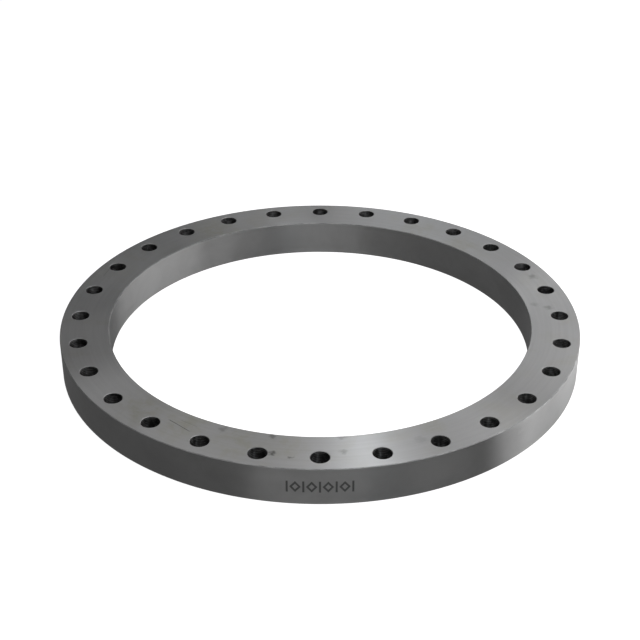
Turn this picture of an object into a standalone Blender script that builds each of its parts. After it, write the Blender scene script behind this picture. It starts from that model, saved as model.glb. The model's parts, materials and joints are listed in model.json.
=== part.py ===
"""Plate flange for welding: a flat, one-piece steel ring with a plain bore and a circle of bolt holes.

The ring lies flat. Its origin is on the bore's axis, in the plane of the face that it lies on, and +Z runs
along the axis. One bolt hole is centred on the -Y axis.
"""

import math

import bmesh
import bpy
from mathutils import Vector

# Driving dimensions, in metres.
OUTER_DIAMETER = 1.255
BORE_DIAMETER = 1.022
THICKNESS = 0.090
BOLT_CIRCLE_DIAMETER = 1.170
BOLT_HOLE_DIAMETER = 0.042
BOLT_HOLE_COUNT = 28
RING_CHAMFER = 0.0015  # at 45 degrees, on the four edges of the ring
HOLE_CHAMFER = 0.0010  # at 45 degrees, on both mouths of every bolt hole

# How finely round shapes are divided. Each bolt hole's sector gets the same whole number of ring steps.
RING_STEPS = 6 * BOLT_HOLE_COUNT
HOLE_STEPS = 24
CUTTER_OVERRUN = 0.004  # how far a hole cutter reaches past each face
SMOOTH_BELOW = math.radians(30)

STEEL_COLOUR = (0.30, 0.30, 0.30, 1.0)
STEEL_ROUGHNESS = 0.40

AXIS = Vector((0, 0, 1))


def clear_scene():
    for obj in list(bpy.data.objects):
        bpy.data.objects.remove(obj)


def steel_material():
    material = bpy.data.materials.new("machined_steel")
    material.use_nodes = True
    shader = material.node_tree.nodes["Principled BSDF"]
    shader.inputs["Base Color"].default_value = STEEL_COLOUR
    shader.inputs["Metallic"].default_value = 1.0
    shader.inputs["Roughness"].default_value = STEEL_ROUGHNESS
    return material


def turn(bm, profile, steps, centre):
    """Turns a closed outline of (radius, height) points through a full circle about a vertical axis."""
    corners = [bm.verts.new(centre + Vector((radius, 0, height))) for radius, height in profile]
    edges = [bm.edges.new((a, b)) for a, b in zip(corners, corners[1:] + corners[:1])]
    bmesh.ops.spin(
        bm, geom=corners + edges, cent=centre, axis=AXIS, angle=2 * math.pi, steps=steps, use_merge=True
    )
    # Outline points on the axis make a fan of coincident points, which become one.
    bmesh.ops.remove_doubles(bm, verts=bm.verts, dist=1e-6)
    bmesh.ops.recalc_face_normals(bm, faces=bm.faces)


def ring_outline():
    """The ring's cross-section, with its four edges broken."""
    bore, rim = BORE_DIAMETER / 2, OUTER_DIAMETER / 2
    top, cut = THICKNESS, RING_CHAMFER
    return [
        (bore, cut),
        (bore + cut, 0),
        (rim - cut, 0),
        (rim, cut),
        (rim, top - cut),
        (rim - cut, top),
        (bore + cut, top),
        (bore, top - cut),
    ]


def hole_outline():
    """A bolt hole's drill: straight through the plate, and opening at 45 degrees at both faces."""
    radius, cut, over = BOLT_HOLE_DIAMETER / 2, HOLE_CHAMFER, CUTTER_OVERRUN
    flare = radius + cut + over
    return [
        (0, -over),
        (flare, -over),
        (radius, cut),
        (radius, THICKNESS - cut),
        (flare, THICKNESS + over),
        (0, THICKNESS + over),
    ]


def object_from(bm, name):
    mesh = bpy.data.meshes.new(name)
    bm.to_mesh(mesh)
    bm.free()
    obj = bpy.data.objects.new(name, mesh)
    bpy.context.scene.collection.objects.link(obj)
    return obj


def make_hole_cutter():
    """All the bolt holes' drills, evenly spaced round the bolt circle."""
    bm = bmesh.new()
    turn(bm, hole_outline(), HOLE_STEPS, Vector((0, -BOLT_CIRCLE_DIAMETER / 2, 0)))
    pitch = 2 * math.pi / BOLT_HOLE_COUNT
    copies = BOLT_HOLE_COUNT - 1
    bmesh.ops.spin(
        bm, geom=bm.faces[:], cent=(0, 0, 0), axis=AXIS, angle=copies * pitch, steps=copies, use_duplicate=True
    )
    cutter = object_from(bm, "bolt_hole_cutter")
    cutter.hide_render = True
    cutter.display_type = "WIRE"
    return cutter


def make_flange_ring(cutter):
    bm = bmesh.new()
    turn(bm, ring_outline(), RING_STEPS, Vector((0, 0, 0)))
    ring = object_from(bm, "flange_ring")
    ring.data.materials.append(steel_material())
    ring.data.shade_smooth()
    ring.data.set_sharp_from_angle(angle=SMOOTH_BELOW)
    drilling = ring.modifiers.new("bolt_holes", "BOOLEAN")
    drilling.operation = "DIFFERENCE"
    drilling.solver = "EXACT"
    drilling.object = cutter
    return ring


clear_scene()
make_flange_ring(make_hole_cutter())
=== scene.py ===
"""The finished look of a large plate flange: one steel ring, faced, turned, bored and drilled.

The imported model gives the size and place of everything. The ring shown here is a finer mesh of the same
shape, with a shallow etched mark and a material for each way that its steel was cut or worn.
"""

import json
import math

import bmesh
import bpy
import numpy as np
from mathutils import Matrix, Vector


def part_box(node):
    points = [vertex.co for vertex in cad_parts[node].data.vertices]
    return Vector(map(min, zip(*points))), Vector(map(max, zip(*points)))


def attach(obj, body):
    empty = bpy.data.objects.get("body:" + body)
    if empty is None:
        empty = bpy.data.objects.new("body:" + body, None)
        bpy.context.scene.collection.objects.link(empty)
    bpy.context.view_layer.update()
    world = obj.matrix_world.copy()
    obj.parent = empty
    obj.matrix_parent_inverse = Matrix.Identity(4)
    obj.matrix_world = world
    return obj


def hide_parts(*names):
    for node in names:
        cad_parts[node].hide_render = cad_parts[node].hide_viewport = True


RING_NODE = "flange_ring"
BOLTED_FACE = "joint_face"  # the mount whose bolt pattern gives the holes
MM_PER_METRE = 1000

# How finely the ring is divided. Every bolt hole has a sector of its own, and these are a sector's steps.
RIM_STEPS = 24
BORE_STEPS = 20
SIDE_STEPS = 16
HOLE_STEPS = RIM_STEPS + BORE_STEPS + 2 * SIDE_STEPS
FACE_ROWS = (0.0, 0.12, 0.45, 1.0)  # shares of the way from a hole's mouth to its sector's border
WALL_ROWS = 6

# Small features, in metres.
EDGE_CHAMFER = 0.0015
MOUTH_CHAMFER = 0.0010
MERGE_DISTANCE = 0.00002

# The etched mark on the rim: upright bars with lozenge outlines between them.
MARK_HEIGHT = 0.028
MARK_STROKE = 0.0044
MARK_GAP = 0.0030
LOZENGE_WIDTH = 0.0240
LOZENGE_COUNT = 4
MARK_DEPTH = 0.0006
MARK_OVERRUN = 0.002  # how far the mark's cutter stands out of the rim

SMOOTH_BELOW = math.radians(32)  # edges that turn by less than this are shaded smooth

# A face's zone comes from how far its normal leans to the axis.
FLAT_NORMAL = 0.99
WALL_NORMAL = 0.06
ZONES = ("face", "rim", "bore", "hole", "edge", "bore_edge", "mark")

# The ring's surfaces, laid out flat for baked textures.
UV_LAYER = "OFBake"
STRIP_SECTORS = 10
STRIP_GAP = 0.008

# Stains on the top face: azimuth in degrees, then radius and reach in metres, and strength.
OIL_STAINS = (
    (226, 0.565, 0.070, 1.0),
    (238, 0.550, 0.080, 1.0),
    (252, 0.560, 0.070, 0.9),
    (262, 0.550, 0.060, 0.7),
    (297, 0.530, 0.040, 0.6),
    (45, 0.530, 0.060, 0.8),
    (60, 0.545, 0.060, 0.6),
    (122, 0.545, 0.090, 0.8),
)
SPOTS = (
    (247, 0.528, 0.012, 0.5),
    (259, 0.522, 0.009, 0.6),
    (260, 0.580, 0.009, 0.9),
    (264, 0.592, 0.007, 0.7),
    (275, 0.516, 0.011, 0.4),
    (275, 0.569, 0.010, 0.4),
    (292, 0.564, 0.016, 0.2),
    (20, 0.582, 0.014, 0.5),
    (6, 0.535, 0.012, 0.3),
    (4, 0.567, 0.012, 0.5),
)
STAIN_CORE = 0.15  # the share of a stain's reach that has its full strength
STAIN_EDGE = 1.2  # the share of its reach where it has faded out
# Scratches: azimuth and radius of one end, then of the other, and strength.
SCRATCHES = (
    (233.5, 0.553, 241.0, 0.566, 1.0),
    (236.0, 0.541, 241.5, 0.543, 0.35),
    (48.0, 0.556, 53.5, 0.571, 0.30),
    (155.0, 0.601, 160.5, 0.592, 0.40),
)
SCRATCH_WIDTH = 0.0011

# The steel's colours. A pair is the darkest and the palest that it varies between.
CLEAN_STEEL = ((0.492, 0.492, 0.495, 1.0), (0.520, 0.520, 0.523, 1.0))
OILY_STEEL = ((0.435, 0.429, 0.385, 1.0), (0.465, 0.459, 0.415, 1.0))
SPOT_COLOUR = (0.17, 0.168, 0.162, 1.0)
WALL_GREY = 0.5
# The hole walls' greys are painted shade: far darker than the steel, for the shade deep inside the holes.
SHADED_DRILLED_GREYS = (0.07, 0.20)
GRIME_AND_SHADE_GREY = 0.03
ETCHED_GREYS = (0.17, 0.25)
# The chamfers' greys sit below the steel's as painted shade that dims their highlights, the bore's chamfer
# the more.
RIM_EDGE_SHADED_GREY = 0.45
BORE_EDGE_SHADED_GREY = 0.33

# How the steel was cut. Anisotropy is how much more a surface scatters light across its tool marks than
# along them. Bump depths and the drill's pitch are in metres.
ACROSS_THE_MARKS = 0.25  # a quarter turn
FACE_ANISOTROPY = 1.0
WALL_ANISOTROPY = 0.9
HOLE_ANISOTROPY = 1.0
FACE_ROUGHNESS = (0.335, 0.365)
WALL_ROUGHNESS = 0.33
HOLE_ROUGHNESS = (0.48, 0.55)
ETCHED_ROUGHNESS = (0.5, 0.7)
RIM_EDGE_ROUGHNESS = 0.60
BORE_EDGE_ROUGHNESS = 0.58
MARKS_ROUND = 2.2  # how much tool marks change along their length, in noise cells per radian
FACE_LINES = (150.0, 620.0)  # coarse and fine lathe lines, in noise cells per metre
RIM_LINES = 260.0
BORE_LINES = 200.0
DRILL_PITCH = 0.0045
DRILL_WANDER = 2.5  # how far the drill's rings stray from level, in radians of their pitch
FACE_BUMP = 0.00002
WALL_BUMP = 0.00001
DRILL_BUMP = 0.00012
EDGE_BUMP = 0.00004
ETCHED_BUMP = 0.0001

# The studio's light.
NEUTRAL = (1.0, 1.0, 1.0)
COOL = (0.92, 0.965, 1.0)
# Softboxes round the ring: name, azimuth and elevation in degrees, distance, width and height in metres,
# radiance and colour.
SOFTBOXES = (
    ("back_right", 37, 35, 3.7, 2.8, 1.8, 0.41, NEUTRAL),
    ("front_strip", 292, 45, 1.8, 0.25, 1.8, 2.75, COOL),
    ("low_right_back", 24, 3, 1.8, 2.8, 1.8, 1.25, NEUTRAL),
    ("low_front", 266, 4, 3.7, 2.8, 1.8, 0.77, NEUTRAL),
    ("near_right", 334, 15, 1.15, 0.25, 1.8, 0.4, NEUTRAL),
    ("low_back", 76, 18, 3.7, 1.6, 1.1, 0.97, NEUTRAL),
    ("back_left", 131, 47, 3.7, 2.8, 1.8, 0.52, NEUTRAL),
    ("back_strip", 81, 44, 1.7, 0.25, 1.1, 0.65, COOL),
    ("low_front_right", 313, 9, 3.7, 1.6, 1.1, 1.05, NEUTRAL),
    ("right_strip", 342, 20, 1.6, 0.5, 1.8, 1.15, NEUTRAL),
    ("overhead_front", 284, 74, 1.3, 2.8, 1.8, 0.67, NEUTRAL),
    ("overhead_right", 313, 80, 2.5, 1.6, 1.1, 1.2, NEUTRAL),
)
AIM_HEIGHT = 0.05
WATTS_FOR_RADIANCE = math.pi  # for one square metre of a softbox
ROOM_LIGHT = 0.115
BACKDROP_LIGHT = 1.0
WHITE = (1.0, 1.0, 1.0, 1.0)

# The floor.
FLOOR_SIDE = 60.0
FLOOR_GREY = 0.6
FLOOR_LIGHT = 0.88

# The camera, with its sensor and lens in millimetres.
SENSOR_WIDTH = 36.0
LENS = 75.6
CAMERA_PLACE = (0.0, -2.843, 1.734)
CAMERA_DIP = 30.23  # degrees below level


# ---------------------------------------------------------------- the ring's sizes, read from the frame


def ring_sizes(frame):
    """The ring's radii, faces and bolt holes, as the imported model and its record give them."""
    low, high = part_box(RING_NODE)
    mesh = frame["nodes"][RING_NODE].data
    points = np.empty(len(mesh.vertices) * 3)
    mesh.vertices.foreach_get("co", points)
    radii = np.hypot(points[0::3], points[1::3])
    mounts = frame["record"]["mounts"]
    pattern = next(mount["dims"] for mount in mounts if mount["name"] == BOLTED_FACE)
    return {
        "rim": (high.x - low.x) / 2,
        "bore": float(radii.min()),
        "bottom": low.z,
        "top": high.z,
        "bolt_circle": pattern["pcd_mm"] / 2 / MM_PER_METRE,
        "hole": pattern["hole_r_mm"] / MM_PER_METRE,
        "count": int(pattern["count"]),
    }


# ---------------------------------------------------------------- the ring's mesh


def mesh_object(name, bm, materials):
    mesh = bpy.data.meshes.new(name)
    bm.to_mesh(mesh)
    bm.free()
    for material in materials:
        mesh.materials.append(material)
    obj = bpy.data.objects.new(name, mesh)
    bpy.context.scene.collection.objects.link(obj)
    return obj


def polar(radius, angle, height):
    return Vector((radius * math.cos(angle), radius * math.sin(angle), height))


def chamfered_wall(wall, outward, sizes, chamfer):
    """A wall's cross-section from the top face to the bottom face, as (radius, height) points.

    wall is the wall's radius, and outward is 1 where the metal lies inside it and -1 where it lies outside.
    """
    high, low = sizes["top"] - chamfer, sizes["bottom"] + chamfer
    rows = [(wall, high + (low - high) * i / WALL_ROWS) for i in range(WALL_ROWS + 1)]
    mouth = wall - outward * chamfer
    return [(mouth, sizes["top"])] + rows + [(mouth, sizes["bottom"])]


def sector_border(sizes, inner, outer, middle, width):
    """The outline of a sector's flat face, anticlockwise from the middle of its rim side."""
    half, depth = width / 2, outer - inner
    rim = [(outer, middle - half + width * i / RIM_STEPS) for i in range(RIM_STEPS + 1)]
    left = [(outer - depth * i / SIDE_STEPS, middle + half) for i in range(1, SIDE_STEPS)]
    bore = [(inner, middle + half - width * i / BORE_STEPS) for i in range(BORE_STEPS + 1)]
    right = [(inner + depth * i / SIDE_STEPS, middle - half) for i in range(1, SIDE_STEPS)]
    border = rim + left + bore + right
    start = RIM_STEPS // 2
    return border[start:] + border[:start]


def add_strip(bm, first, second, closed=False):
    """Quads between two rows of vertices."""
    count = len(first)
    for i in range(count if closed else count - 1):
        j = (i + 1) % count
        bm.faces.new((first[i], first[j], second[j], second[i]))


def add_wall(bm, profile, place, count, closed=False):
    """A wall of quads down a cross-section. place puts the vertex of a column at a radius and height."""
    rows = [[bm.verts.new(place(i, radius, height)) for i in range(count)] for radius, height in profile]
    for upper, lower in zip(rows, rows[1:]):
        add_strip(bm, upper, lower, closed)


def add_sector(bm, sizes, middle):
    """One bolt hole and the part of the ring round it, as an open shell."""
    width = 2 * math.pi / sizes["count"]
    start = middle - width / 2
    rim_wall = chamfered_wall(sizes["rim"], 1, sizes, EDGE_CHAMFER)
    bore_wall = chamfered_wall(sizes["bore"], -1, sizes, EDGE_CHAMFER)
    hole_wall = chamfered_wall(sizes["hole"], -1, sizes, MOUTH_CHAMFER)
    centre = polar(sizes["bolt_circle"], middle, 0)

    def on_rim(i, radius, height):
        return polar(radius, start + width * i / RIM_STEPS, height)

    def on_bore(i, radius, height):
        return polar(radius, start + width * i / BORE_STEPS, height)

    def on_hole(i, radius, height):
        return centre + polar(radius, middle + 2 * math.pi * i / HOLE_STEPS, height)

    add_wall(bm, rim_wall, on_rim, RIM_STEPS + 1)
    add_wall(bm, bore_wall, on_bore, BORE_STEPS + 1)
    add_wall(bm, hole_wall, on_hole, HOLE_STEPS, closed=True)

    border = sector_border(sizes, bore_wall[0][0], rim_wall[0][0], middle, width)
    mouth = hole_wall[0][0]
    for height in (sizes["top"], sizes["bottom"]):
        rows = []
        for share in FACE_ROWS:
            row = []
            for i, (radius, angle) in enumerate(border):
                near, far = on_hole(i, mouth, height), polar(radius, angle, height)
                row.append(bm.verts.new(near.lerp(far, share)))
            rows.append(row)
        for inner_row, outer_row in zip(rows, rows[1:]):
            add_strip(bm, inner_row, outer_row, closed=True)


def add_prism(bm, outline, low, high):
    """A closed prism between two radii, whose outline is given as (angle, height) points."""
    near = [bm.verts.new(polar(low, angle, height)) for angle, height in outline]
    far = [bm.verts.new(polar(high, angle, height)) for angle, height in outline]
    bm.faces.new(near)
    bm.faces.new(far)
    add_strip(bm, near, far, closed=True)


def add_frame(bm, outer, inner, low, high):
    """As add_prism, for what lies between an outer and an inner outline."""
    rings = []
    for radius, outline in ((low, outer), (high, outer), (high, inner), (low, inner)):
        rings.append([bm.verts.new(polar(radius, angle, height)) for angle, height in outline])
    for first, second in zip(rings, rings[1:] + rings[:1]):
        add_strip(bm, first, second, closed=True)


def make_mark_cutter(sizes):
    """Bars with lozenges between them, centred on the front of the rim."""
    rim = sizes["rim"]
    low, high = rim - MARK_DEPTH, rim + MARK_OVERRUN
    middle = (sizes["top"] + sizes["bottom"]) / 2
    half = MARK_HEIGHT / 2
    bar = MARK_STROKE / 2
    pitch = MARK_STROKE + LOZENGE_WIDTH + 2 * MARK_GAP
    side = math.hypot(LOZENGE_WIDTH, MARK_HEIGHT)
    narrower = 2 * MARK_STROKE * side / MARK_HEIGHT
    lower = 2 * MARK_STROKE * side / LOZENGE_WIDTH

    def outline(centre, points):
        return [((centre + x) / rim - math.pi / 2, middle + z) for x, z in points]

    def lozenge(width, height):
        return [(-width / 2, 0), (0, -height / 2), (width / 2, 0), (0, height / 2)]

    bm = bmesh.new()
    for i in range(LOZENGE_COUNT + 1):
        centre = (i - LOZENGE_COUNT / 2) * pitch
        upright = [(-bar, -half), (bar, -half), (bar, half), (-bar, half)]
        add_prism(bm, outline(centre, upright), low, high)
    for i in range(LOZENGE_COUNT):
        centre = (i + 0.5 - LOZENGE_COUNT / 2) * pitch
        outer = outline(centre, lozenge(LOZENGE_WIDTH, MARK_HEIGHT))
        inner = outline(centre, lozenge(LOZENGE_WIDTH - narrower, MARK_HEIGHT - lower))
        add_frame(bm, outer, inner, low, high)
    bmesh.ops.recalc_face_normals(bm, faces=bm.faces)
    return mesh_object("mark_cutter", bm, [])


def cut_mark(ring, cutter):
    """Cuts the mark into the rim for good, and removes the cutter."""
    cut = ring.modifiers.new("mark", "BOOLEAN")
    cut.operation = "DIFFERENCE"
    cut.solver = "EXACT"
    cut.object = cutter
    evaluated = ring.evaluated_get(bpy.context.evaluated_depsgraph_get())
    mesh = bpy.data.meshes.new_from_object(evaluated)
    ring.modifiers.clear()
    ring.data = mesh
    bpy.data.objects.remove(cutter)


def nearest_hole(point, sizes):
    """The bolt hole whose sector a point is in: its index, counted from the front, and its axis."""
    pitch = 2 * math.pi / sizes["count"]
    index = round((math.atan2(point.y, point.x) + math.pi / 2) / pitch) % sizes["count"]
    return index, polar(sizes["bolt_circle"], index * pitch - math.pi / 2, 0)


def zone_of(face, sizes):
    """Which of the ring's surfaces a face belongs to."""
    centre, lean = face.center, abs(face.normal.z)
    radius = math.hypot(centre.x, centre.y)
    depth = sizes["rim"] - radius
    above = centre.z - (sizes["top"] + sizes["bottom"]) / 2
    if MARK_DEPTH / 4 < depth < 2 * MARK_DEPTH and abs(above) < MARK_HEIGHT:
        return "mark"
    if lean > FLAT_NORMAL:
        return "face"
    if lean > WALL_NORMAL:
        return "bore_edge" if radius < sizes["bore"] + 2 * EDGE_CHAMFER else "edge"
    axis = nearest_hole(centre, sizes)[1]
    if math.hypot(centre.x - axis.x, centre.y - axis.y) < sizes["hole"] + MOUTH_CHAMFER:
        return "hole"
    return "bore" if radius < sizes["bolt_circle"] else "rim"


def make_ring(sizes, materials):
    """The whole ring as one closed mesh, with a material for each zone."""
    bm = bmesh.new()
    for i in range(sizes["count"]):
        add_sector(bm, sizes, 2 * math.pi * i / sizes["count"] - math.pi / 2)
    bmesh.ops.remove_doubles(bm, verts=bm.verts, dist=MERGE_DISTANCE)
    bmesh.ops.recalc_face_normals(bm, faces=bm.faces)
    ring = mesh_object("turned_ring", bm, [materials[zone] for zone in ZONES])
    cut_mark(ring, make_mark_cutter(sizes))
    for face in ring.data.polygons:
        face.material_index = ZONES.index(zone_of(face, sizes))
    ring.data.shade_smooth()
    ring.data.set_sharp_from_angle(angle=SMOOTH_BELOW)
    return ring


# ---------------------------------------------------------------- the ring's surfaces, laid out flat


def surface_of(face, sizes):
    """Which strip a face is laid out on. Chamfers and the mark go with the wall that they belong to."""
    centre = face.center
    radius = math.hypot(centre.x, centre.y)
    if zone_of(face, sizes) == "face":
        return "top" if centre.z > (sizes["top"] + sizes["bottom"]) / 2 else "bottom"
    axis = nearest_hole(centre, sizes)[1]
    if math.hypot(centre.x - axis.x, centre.y - axis.y) < sizes["hole"] + 2 * MOUTH_CHAMFER:
        return "hole"
    return "bore" if radius < sizes["bolt_circle"] else "rim"


def strip_rows(sizes, length):
    """Where each surface's strips start and how deep they are, and how deep the whole stack is."""
    holes_abreast = int(length / (2 * math.pi * sizes["hole"] + STRIP_GAP))
    height = sizes["top"] - sizes["bottom"]
    depths = {"top": sizes["rim"] - sizes["bore"], "rim": height, "bore": height, "hole": height}
    depths["bottom"] = depths["top"]
    rows, level = {}, STRIP_GAP
    for surface, depth in depths.items():
        abreast = holes_abreast if surface == "hole" else STRIP_SECTORS
        rows[surface] = (level, depth, abreast)
        level += math.ceil(sizes["count"] / abreast) * (depth + STRIP_GAP)
    return rows, level


def nearest_turn(angle, target):
    """The same angle, by whole turns as near to target as it gets."""
    return target + (angle - target + math.pi) % (2 * math.pi) - math.pi


def lay_out(ring, sizes):
    """Unrolls each surface by angle, cuts it into strips and stacks them in one square, at one scale."""
    mesh = ring.data
    sector = 2 * math.pi / sizes["count"]
    length = sizes["rim"] * sector * STRIP_SECTORS
    rows, level = strip_rows(sizes, length)
    side = max(level, length + 2 * STRIP_GAP)
    layer = mesh.uv_layers.new(name=UV_LAYER)
    mesh.uv_layers.active = layer
    for face in mesh.polygons:
        surface = surface_of(face, sizes)
        start, depth, abreast = rows[surface]
        index, axis = nearest_hole(face.center, sizes)
        strip, column = divmod(index, abreast)
        hub = axis if surface == "hole" else Vector((0, 0, 0))
        towards = face.center - hub
        middle = math.atan2(towards.y, towards.x)
        if surface == "hole":
            origin, reach = 0.0, sizes["hole"]
            offset = column * (2 * math.pi * reach + STRIP_GAP)
            middle %= 2 * math.pi
        else:
            origin, reach = (strip * abreast - 0.5) * sector - math.pi / 2, sizes["rim"]
            offset = 0.0
            middle = nearest_turn(middle, index * sector - math.pi / 2)
        for loop in face.loop_indices:
            point = mesh.vertices[mesh.loops[loop].vertex_index].co - hub
            angle = nearest_turn(math.atan2(point.y, point.x), middle)
            across = offset + (angle - origin) * reach
            flat = surface in ("top", "bottom")
            up = math.hypot(point.x, point.y) - sizes["bore"] if flat else point.z - sizes["bottom"]
            height = start + strip * (depth + STRIP_GAP) + up
            layer.data[loop].uv = ((STRIP_GAP + across) / side, height / side)


# ---------------------------------------------------------------- materials


def grey(level):
    return (level, level, level, 1.0)


class Shading:
    """A material's nodes, added and linked one call at a time."""

    def __init__(self, name):
        self.material = bpy.data.materials.new(name)
        self.material.use_nodes = True
        self.tree = self.material.node_tree
        self.shader = self.tree.nodes["Principled BSDF"]

    def feed(self, socket, value):
        """Sets an input: a link from another node's output, or a constant."""
        if isinstance(value, bpy.types.NodeSocket):
            self.tree.links.new(value, socket)
        else:
            socket.default_value = value

    def node(self, kind, values=(), **settings):
        """A new node with its settings made and its first inputs fed."""
        node = self.tree.nodes.new(kind)
        for name, setting in settings.items():
            setattr(node, name, setting)
        for socket, value in zip(node.inputs, values):
            self.feed(socket, value)
        return node

    def steel(self, colour, roughness):
        """Bare metal, with a colour and a roughness that may come from nodes."""
        self.feed(self.shader.inputs["Base Color"], colour)
        self.shader.inputs["Metallic"].default_value = 1.0
        self.feed(self.shader.inputs["Roughness"], roughness)

    def place(self):
        """The object's own coordinates, as a vector and as x, y and z."""
        vector = self.node("ShaderNodeTexCoord").outputs["Object"]
        return vector, self.node("ShaderNodeSeparateXYZ", [vector]).outputs

    def math(self, operation, *values):
        return self.node("ShaderNodeMath", values, operation=operation).outputs[0]

    def vector_math(self, operation, *values):
        return self.node("ShaderNodeVectorMath", values, operation=operation).outputs

    def dot(self, vector, direction):
        return self.vector_math("DOT_PRODUCT", vector, direction)["Value"]

    def largest(self, values):
        total = values[0]
        for value in values[1:]:
            total = self.math("MAXIMUM", total, value)
        return total

    def remap(self, value, source, target):
        """A value in the source range, eased to the target range."""
        values = (value, *source, *target)
        return self.node("ShaderNodeMapRange", values, interpolation_type="SMOOTHSTEP").outputs["Result"]

    def mix(self, share, first, second):
        node = self.node("ShaderNodeMix", data_type="RGBA")
        self.feed(node.inputs[0], share)
        self.feed(node.inputs[6], first)
        self.feed(node.inputs[7], second)
        return node.outputs[2]

    def noise_outputs(self, vector, scale, detail, roughness, distortion):
        node = self.node("ShaderNodeTexNoise")
        self.feed(node.inputs["Vector"], vector)
        self.feed(node.inputs["Scale"], scale)
        self.feed(node.inputs["Detail"], detail)
        self.feed(node.inputs["Roughness"], roughness)
        self.feed(node.inputs["Distortion"], distortion)
        return node.outputs

    def noise(self, vector, scale, detail=3.0, roughness=0.5, distortion=0.0):
        return self.noise_outputs(vector, scale, detail, roughness, distortion)["Fac"]

    def warped(self, vector, scale, amount):
        """The same places, each shifted by up to half of amount, which makes outlines ragged."""
        shift = self.noise_outputs(vector, scale, detail=4.0, roughness=0.5, distortion=0.0)["Color"]
        moved = self.vector_math("MULTIPLY_ADD", shift, (amount, amount, 0.0), vector)["Vector"]
        return self.vector_math("SUBTRACT", moved, (amount / 2, amount / 2, 0.0))["Vector"]

    def bump(self, height, depth):
        """A bump, where a height of 1 stands for a real depth in metres."""
        node = self.node("ShaderNodeBump")
        self.feed(node.inputs["Strength"], 1.0)
        self.feed(node.inputs["Distance"], depth)
        self.feed(node.inputs["Height"], height)
        self.feed(self.shader.inputs["Normal"], node.outputs[0])

    def stain(self, vector, point, reach, strength):
        """A soft spot round a point: strength in its middle, fading out to 0."""
        distance = self.vector_math("DISTANCE", vector, point)["Value"]
        return self.remap(distance, (STAIN_CORE * reach, STAIN_EDGE * reach), (strength, 0.0))

    def scratch(self, vector, start, end, width, strength):
        """A fine straight line on a level face, from one point to another, fading at its ends."""
        up = Vector((0, 0, 1))
        along = (end - start).normalized()
        half = (end - start).length / 2
        axes = (along, along.cross(up), up)
        offset = self.vector_math("SUBTRACT", vector, (start + end) / 2)["Vector"]
        reach, beside, level = (self.math("ABSOLUTE", self.dot(offset, axis)) for axis in axes)
        thin = self.remap(self.math("ADD", beside, level), (width / 2, width), (strength, 0.0))
        return self.math("MULTIPLY", thin, self.remap(reach, (0.7 * half, half), (1.0, 0.0)))

    def spread(self, tangent, anisotropy):
        """Tool marks along a tangent, which spread reflections across them."""
        self.feed(self.shader.inputs["Tangent"], tangent)
        self.shader.inputs["Anisotropic"].default_value = anisotropy
        self.shader.inputs["Anisotropic Rotation"].default_value = ACROSS_THE_MARKS

    def round_the_axis(self, anisotropy):
        """Tool marks that run round the ring's axis."""
        tangent = self.node("ShaderNodeTangent", direction_type="RADIAL", axis="Z")
        self.spread(tangent.outputs[0], anisotropy)

    def round_the_wall(self, anisotropy):
        """Tool marks that run round an upright wall, whichever axis it was cut about."""
        normal = self.node("ShaderNodeNewGeometry").outputs["Normal"]
        level = self.vector_math("CROSS_PRODUCT", (0.0, 0.0, 1.0), normal)["Vector"]
        self.spread(level, anisotropy)

    def radius(self, split):
        """The distance from the ring's axis."""
        x, y, _ = split
        return self.math("SQRT", self.math("ADD", self.math("POWER", x, 2.0), self.math("POWER", y, 2.0)))

    def marks(self, split, across, cells_per_metre):
        """Noise that runs round the axis: long along the tool marks, fine across them, and with no seam."""
        x, y, _ = split
        radius = self.radius(split)
        around_x = self.math("MULTIPLY", self.math("DIVIDE", x, radius), MARKS_ROUND)
        around_y = self.math("MULTIPLY", self.math("DIVIDE", y, radius), MARKS_ROUND)
        fine = self.math("MULTIPLY", across, cells_per_metre)
        place = self.node("ShaderNodeCombineXYZ", (around_x, around_y, fine)).outputs[0]
        return self.noise(place, scale=1.0)


def faced_steel(sizes):
    """The flat faces: turned on a lathe, then handled, spotted, scratched and faintly stained with oil."""
    shading = Shading("faced_steel")
    vector, split = shading.place()
    from_axis = shading.radius(split)
    lines, fine_lines = (shading.marks(split, from_axis, cells) for cells in FACE_LINES)
    clouds = shading.noise(vector, scale=11.0, detail=5.0, roughness=0.6, distortion=0.6)
    blots = shading.noise(vector, scale=34.0, detail=4.0, roughness=0.65, distortion=0.5)
    smeared = shading.warped(vector, scale=28.0, amount=0.070)
    ragged = shading.warped(vector, scale=75.0, amount=0.026)

    def on_top(azimuth, radius):
        return polar(radius, math.radians(azimuth), sizes["top"])

    oil, dirt = [], []
    for azimuth, radius, reach, strength in OIL_STAINS:
        oil.append(shading.stain(smeared, on_top(azimuth, radius), reach, strength))
    for azimuth, radius, reach, strength in SPOTS:
        dirt.append(shading.stain(ragged, on_top(azimuth, radius), reach, strength))
    for azimuth, radius, end_azimuth, end_radius, strength in SCRATCHES:
        ends = on_top(azimuth, radius), on_top(end_azimuth, end_radius)
        dirt.append(shading.scratch(vector, *ends, SCRATCH_WIDTH, strength))
    streaks = shading.remap(blots, (0.35, 0.65), (0.2, 1.0))
    patchy = shading.math("MULTIPLY", shading.largest(oil), streaks)
    oiled = shading.largest([patchy, shading.remap(clouds, (0.48, 0.72), (0.0, 0.35))])

    tone = shading.remap(lines, (0.3, 0.7), (0.0, 1.0))
    clean = shading.mix(tone, *CLEAN_STEEL)
    oily = shading.mix(tone, *OILY_STEEL)
    handled = shading.mix(oiled, clean, oily)
    spotted = shading.mix(shading.largest(dirt), handled, SPOT_COLOUR)
    shading.steel(spotted, shading.remap(blots, (0.3, 0.7), FACE_ROUGHNESS))
    shading.bump(shading.math("MULTIPLY_ADD", lines, 0.4, fine_lines), FACE_BUMP)
    shading.round_the_axis(FACE_ANISOTROPY)
    return shading.material


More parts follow.
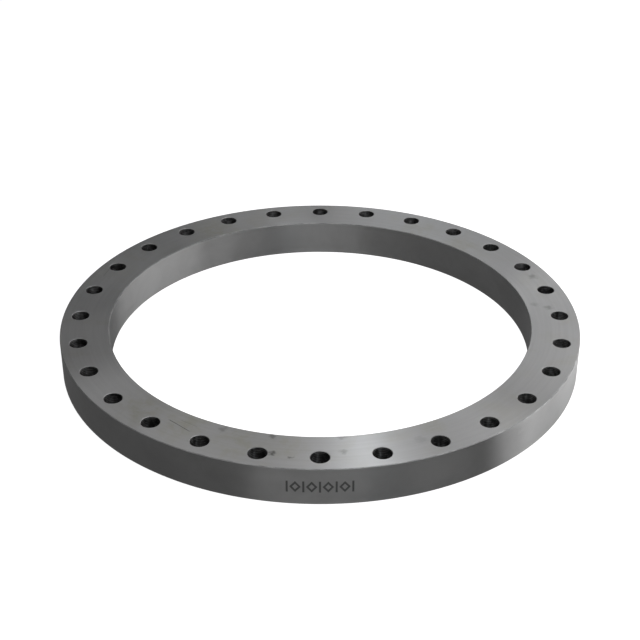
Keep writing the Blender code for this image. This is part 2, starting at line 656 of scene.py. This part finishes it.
def turned_steel(name, cells_per_metre):
    """A round wall cut on a lathe, such as the rim or the bore."""
    shading = Shading(name)
    vector, split = shading.place()
    lines = shading.marks(split, split[2], cells_per_metre)
    clouds = shading.noise(vector, scale=9.0, detail=4.0, roughness=0.6, distortion=0.3)
    tone = shading.remap(clouds, (0.3, 0.7), (0.0, 1.0))
    colour = shading.mix(tone, grey(0.93 * WALL_GREY), grey(1.05 * WALL_GREY))
    roughness = shading.remap(lines, (0.3, 0.7), (0.94 * WALL_ROUGHNESS, 1.06 * WALL_ROUGHNESS))
    shading.steel(colour, roughness)
    shading.bump(lines, WALL_BUMP)
    shading.round_the_axis(WALL_ANISOTROPY)
    return shading.material


def shaded_drilled_steel():
    """A drilled hole's wall, with the drill's rings. Its dark greys are painted shade for the hole's depth,
    and its darkest patches are grime and painted shade.
    """
    shading = Shading("shaded_drilled_steel")
    vector, split = shading.place()
    wander = shading.math("MULTIPLY", shading.noise(vector, scale=30.0, detail=2.0), DRILL_WANDER)
    turns = shading.math("MULTIPLY_ADD", split[2], 2 * math.pi / DRILL_PITCH, wander)
    rings = shading.remap(shading.math("SINE", turns), (-1.0, 1.0), (0.0, 1.0))
    dirt = shading.noise(vector, scale=45.0, detail=4.0, roughness=0.6)
    grime_and_shade = shading.remap(dirt, (0.35, 0.65), (0.0, 1.0))
    # Painted shade: the wall's greys are far darker than the steel, and the darkest patches are grime and
    # painted shade.
    shaded_bare = shading.mix(rings, *map(grey, SHADED_DRILLED_GREYS))
    colour = shading.mix(grime_and_shade, shaded_bare, grey(GRIME_AND_SHADE_GREY))
    shading.steel(colour, shading.remap(grime_and_shade, (0.0, 1.0), HOLE_ROUGHNESS))
    shading.bump(rings, DRILL_BUMP)
    shading.round_the_wall(HOLE_ANISOTROPY)
    return shading.material


def worn_and_shaded_edge_steel(name, level, roughness):
    """A chamfer, filed and then worn: grey of this level where it is bright, and darker between. The level
    is kept below the steel's as painted shade, which dims the chamfer's highlights.
    """
    shading = Shading(name)
    vector, _ = shading.place()
    patches = shading.noise(vector, scale=35.0, detail=4.0, roughness=0.65)
    wear = shading.remap(patches, (0.35, 0.65), (0.0, 1.0))
    # Painted shade: the grey is kept below the steel's to dim the chamfer's highlights; the darker patches
    # are wear.
    colour = shading.mix(wear, grey(0.7 * level), grey(level))
    shading.steel(colour, shading.remap(wear, (0.0, 1.0), (roughness + 0.1, roughness)))
    shading.bump(shading.noise(vector, scale=400.0, detail=2.0), EDGE_BUMP)
    return shading.material


def etched_steel():
    """The etched mark's floor and sides: matt and dark."""
    shading = Shading("etched_steel")
    vector, _ = shading.place()
    bite = shading.noise(vector, scale=900.0, detail=3.0, roughness=0.6)
    tone = shading.remap(bite, (0.3, 0.7), (0.0, 1.0))
    colour = shading.mix(tone, *map(grey, ETCHED_GREYS))
    shading.steel(colour, shading.remap(bite, (0.3, 0.7), ETCHED_ROUGHNESS))
    shading.bump(bite, ETCHED_BUMP)
    return shading.material


def make_materials(sizes):
    """A material for each of the ring's zones."""
    return {
        "face": faced_steel(sizes),
        "rim": turned_steel("turned_rim_steel", RIM_LINES),
        "bore": turned_steel("bored_steel", BORE_LINES),
        "hole": shaded_drilled_steel(),
        "edge": worn_and_shaded_edge_steel("worn_and_shaded_edge_steel", RIM_EDGE_SHADED_GREY, RIM_EDGE_ROUGHNESS),
        "bore_edge": worn_and_shaded_edge_steel("shaded_bore_edge_steel", BORE_EDGE_SHADED_GREY, BORE_EDGE_ROUGHNESS),
        "mark": etched_steel(),
    }


# ---------------------------------------------------------------- the studio


def add_softbox(name, azimuth, elevation, distance, width, height, radiance, colour):
    """A rectangular lamp that faces the ring, hidden from the camera."""
    light = bpy.data.lights.new(name, "AREA")
    light.shape = "RECTANGLE"
    light.size = width
    light.size_y = height
    light.energy = radiance * width * height * WATTS_FOR_RADIANCE
    light.color = colour
    lamp = bpy.data.objects.new(name, light)
    level = math.radians(elevation)
    away = polar(math.cos(level), math.radians(azimuth), math.sin(level))
    lamp.location = away * distance + Vector((0, 0, AIM_HEIGHT))
    lamp.rotation_euler = (-away).to_track_quat("-Z", "Y").to_euler()
    lamp.visible_camera = False
    bpy.context.scene.collection.objects.link(lamp)


def add_room_light():
    """Even light from all round, and a white backdrop where the camera sees past the floor."""
    world = bpy.data.worlds.new("studio")
    bpy.context.scene.world = world
    world.use_nodes = True
    nodes, links = world.node_tree.nodes, world.node_tree.links
    room = nodes["Background"]
    backdrop = nodes.new("ShaderNodeBackground")
    for light, strength in ((room, ROOM_LIGHT), (backdrop, BACKDROP_LIGHT)):
        light.inputs["Color"].default_value = WHITE
        light.inputs["Strength"].default_value = strength
    seen = nodes.new("ShaderNodeLightPath")
    mix = nodes.new("ShaderNodeMixShader")
    links.new(seen.outputs["Is Camera Ray"], mix.inputs[0])
    links.new(room.outputs[0], mix.inputs[1])
    links.new(backdrop.outputs[0], mix.inputs[2])
    links.new(mix.outputs[0], nodes["World Output"].inputs["Surface"])


def add_floor(height):
    """A plain white floor. Its glow hides shadows, the steel doesn't mirror it, and it blocks no light."""
    bm = bmesh.new()
    bmesh.ops.create_grid(bm, x_segments=1, y_segments=1, size=FLOOR_SIDE / 2)
    shading = Shading("pale_floor")
    shading.shader.inputs["Base Color"].default_value = grey(FLOOR_GREY)
    shading.shader.inputs["Roughness"].default_value = 1.0
    shading.shader.inputs["Specular IOR Level"].default_value = 0.0
    shading.shader.inputs["Emission Color"].default_value = WHITE
    shading.shader.inputs["Emission Strength"].default_value = FLOOR_LIGHT
    floor = mesh_object("floor", bm, [shading.material])
    floor.location.z = height
    floor.visible_glossy = False
    floor.visible_shadow = False


def add_camera():
    """The camera, in front of the ring and looking down at it."""
    camera = bpy.data.cameras.new("camera")
    camera.sensor_width = SENSOR_WIDTH
    camera.lens = LENS
    eye = bpy.data.objects.new("camera", camera)
    eye.location = CAMERA_PLACE
    eye.rotation_euler = (math.radians(90 - CAMERA_DIP), 0.0, 0.0)
    bpy.context.scene.collection.objects.link(eye)
    bpy.context.scene.camera = eye


# ---------------------------------------------------------------- the scene

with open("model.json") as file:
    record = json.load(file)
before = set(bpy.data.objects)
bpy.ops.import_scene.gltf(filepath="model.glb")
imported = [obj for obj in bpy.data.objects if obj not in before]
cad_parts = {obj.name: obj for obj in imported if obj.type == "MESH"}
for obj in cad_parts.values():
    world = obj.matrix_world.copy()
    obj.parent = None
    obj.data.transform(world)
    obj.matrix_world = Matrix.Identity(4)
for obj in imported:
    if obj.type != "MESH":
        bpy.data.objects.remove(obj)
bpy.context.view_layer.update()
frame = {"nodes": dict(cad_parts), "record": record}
sizes = ring_sizes(frame)

ring = make_ring(sizes, make_materials(sizes))
lay_out(ring, sizes)
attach(ring, "root")
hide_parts(RING_NODE)

add_floor(sizes["bottom"])
add_room_light()
for softbox in SOFTBOXES:
    add_softbox(*softbox)
add_camera()
bpy.context.scene.view_settings.view_transform = "Standard"
